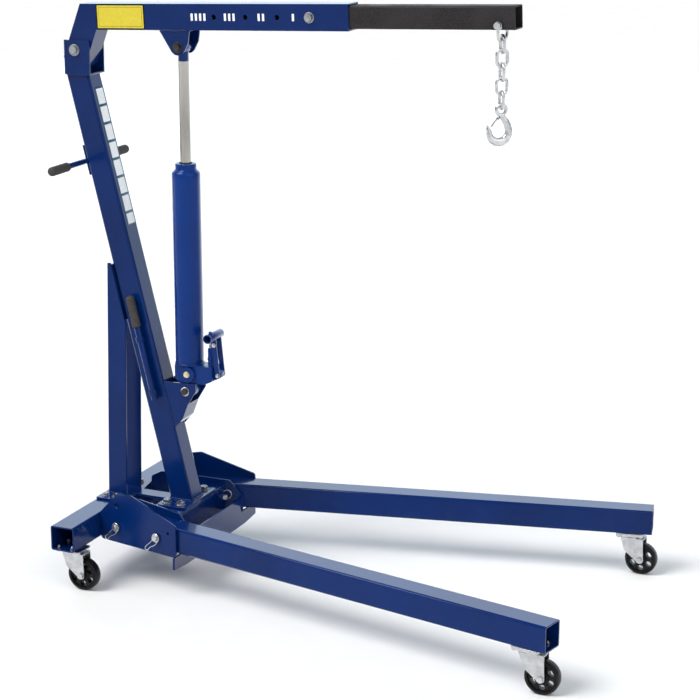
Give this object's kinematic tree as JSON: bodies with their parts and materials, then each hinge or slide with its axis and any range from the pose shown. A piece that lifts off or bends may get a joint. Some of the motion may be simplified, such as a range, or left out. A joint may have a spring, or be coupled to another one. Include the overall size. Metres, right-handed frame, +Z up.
{
  "type": "folding engine hoist",
  "caption": "Hand-pumped folding shop crane on swivel casters: splayed fold-up legs, leaning mast, ram-lifted boom with sliding extension, chain and latched hook.",
  "frame": {"origin": "middle of the machine's box, on the floor under the wheels", "axes": "+X forwards from the mast to the hook, +Y to the machine's left, +Z up"},
  "size_m": [1.5746, 0.9572, 1.6056],
  "materials": {
    "blue": "gloss",
    "extension": "fine texture",
    "zinc": "zinc plated",
    "chrome": "polished",
    "wheel": "moulded",
    "grip": "matte"
  },
  "bodies": {
    "base": {"base_front_lip": "blue", "base_plate": "blue", "boom_pivot_bolt": "zinc", "brace_saddle": "blue", "bracket_inner_left": "blue", "bracket_inner_right": "blue", "bracket_outer_left": "blue", "bracket_outer_right": "blue", "caster_plate_rear_left": "zinc", "caster_plate_rear_right": "zinc", "foot_plate": "blue", "handle_clip_lower": "blue", "handle_clip_upper": "blue", "leg_lock_pin_left": "zinc", "leg_lock_pin_right": "zinc", "leg_pivot_pin_left": "zinc", "leg_pivot_pin_right": "zinc", "mast": "blue", "mast_foot": "blue", "mast_head": "blue", "pump_handle": "blue", "pump_handle_grip": "grip", "push_bar": "blue", "push_grip_left": "grip", "push_grip_right": "grip", "ram_foot_pin": "zinc", "ram_lug": "blue", "rear_brace_left": "blue", "rear_brace_right": "blue", "rear_cross_tube": "blue"},
    "leg_right": {"leg_right": "blue", "caster_plate_front_right": "zinc"},
    "leg_left": {"leg_left": "blue", "caster_plate_front_left": "zinc"},
    "caster_fork_rear_right": {"caster_fork_rear_right": "zinc"},
    "caster_wheel_rear_right": {"wheel_rear_right": "wheel"},
    "caster_fork_rear_left": {"caster_fork_rear_left": "zinc"},
    "caster_wheel_rear_left": {"wheel_rear_left": "wheel"},
    "caster_fork_front_right": {"caster_fork_front_right": "zinc"},
    "caster_wheel_front_right": {"wheel_front_right": "wheel"},
    "caster_fork_front_left": {"caster_fork_front_left": "zinc"},
    "caster_wheel_front_left": {"wheel_front_left": "wheel"},
    "boom": {"boom": "blue", "boom_lug": "blue", "ram_top_bolt_right": "zinc", "ram_top_bolt_left": "zinc", "extension_lock_bolt": "zinc"},
    "extension": {"boom_extension": "extension", "shackle_bolt": "zinc"},
    "shackle": {"shackle": "zinc"},
    "chain": {"chain": "zinc", "hook": "zinc", "hook_latch": "zinc"},
    "ram": {"ram_cylinder": "blue", "pump_unit": "blue", "pump_lever": "blue"},
    "ram_rod": {"ram_rod": "chrome", "rod_eye": "blue"}
  },
  "joints": [
    {"name": "leg_fold_right", "type": "hinge", "parent": "base", "child": "leg_right", "pos_m": [-0.55864, -0.1595, 0.157], "axis": [-0.2106, -0.9776, 0], "range_deg": [0, 90]},
    {"name": "leg_fold_left", "type": "hinge", "parent": "base", "child": "leg_left", "pos_m": [-0.55864, 0.1595, 0.157], "axis": [0.2106, -0.9776, 0], "range_deg": [0, 90]},
    {"name": "caster_swivel_rear_right", "type": "hinge", "parent": "base", "child": "caster_fork_rear_right", "pos_m": [-0.65564, -0.292, 0.1124], "axis": [0, 0, 1], "continuous": true},
    {"name": "wheel_spin_rear_right", "type": "hinge", "parent": "caster_fork_rear_right", "child": "caster_wheel_rear_right", "pos_m": [-0.62164, -0.292, 0.045], "axis": [0, 1, 0], "continuous": true},
    {"name": "caster_swivel_rear_left", "type": "hinge", "parent": "base", "child": "caster_fork_rear_left", "pos_m": [-0.65564, 0.292, 0.1124], "axis": [0, 0, 1], "continuous": true},
    {"name": "wheel_spin_rear_left", "type": "hinge", "parent": "caster_fork_rear_left", "child": "caster_wheel_rear_left", "pos_m": [-0.62164, 0.292, 0.045], "axis": [0, 1, 0], "continuous": true},
    {"name": "caster_swivel_front_right", "type": "hinge", "parent": "leg_right", "child": "caster_fork_front_right", "pos_m": [0.70828, -0.43249, 0.1124], "axis": [0, 0, 1], "continuous": true},
    {"name": "wheel_spin_front_right", "type": "hinge", "parent": "caster_fork_front_right", "child": "caster_wheel_front_right", "pos_m": [0.74229, -0.43249, 0.045], "axis": [0, 1, 0], "continuous": true},
    {"name": "caster_swivel_front_left", "type": "hinge", "parent": "leg_left", "child": "caster_fork_front_left", "pos_m": [0.70828, 0.43249, 0.1124], "axis": [0, 0, 1], "continuous": true},
    {"name": "wheel_spin_front_left", "type": "hinge", "parent": "caster_fork_front_left", "child": "caster_wheel_front_left", "pos_m": [0.74229, 0.43249, 0.045], "axis": [0, 1, 0], "continuous": true},
    {"name": "boom_lift", "type": "hinge", "parent": "base", "child": "boom", "pos_m": [-0.74867, 0, 1.4388], "axis": [0, -1, 0], "range_deg": [-55, 35]},
    {"name": "boom_extend", "type": "slide", "parent": "boom", "child": "extension", "axis": [0.9992, 0, 0.0395], "range_m": [-0.2739, 0]},
    {"name": "shackle_swing", "type": "hinge", "parent": "extension", "child": "shackle", "pos_m": [0.45529, 0, 1.55695], "axis": [0, -1, 0], "range_deg": [-17.6, 27.6]},
    {"name": "chain_swing", "type": "hinge", "parent": "shackle", "child": "chain", "pos_m": [0.45529, 0, 1.51895], "axis": [0, -1, 0], "range_deg": [-17.6, 27.6]},
    {"name": "ram_tilt", "type": "hinge", "parent": "base", "child": "ram", "pos_m": [-0.43813, 0, 0.515], "axis": [0, -1, 0], "range_deg": [-4.7, 7.3]},
    {"name": "ram_extend", "type": "slide", "parent": "ram", "child": "ram_rod", "axis": [0, 0, 1], "range_m": [-0.2615, 0.1665]}
  ],
  "couplings": [
    {"joint": "ram_tilt", "follows": "boom_lift", "ratio": -0.132},
    {"joint": "ram_extend", "follows": "boom_lift", "m_per_rad": 0.272},
    {"joint": "shackle_swing", "follows": "boom_lift", "ratio": -0.5},
    {"joint": "chain_swing", "follows": "boom_lift", "ratio": -0.5}
  ]
}
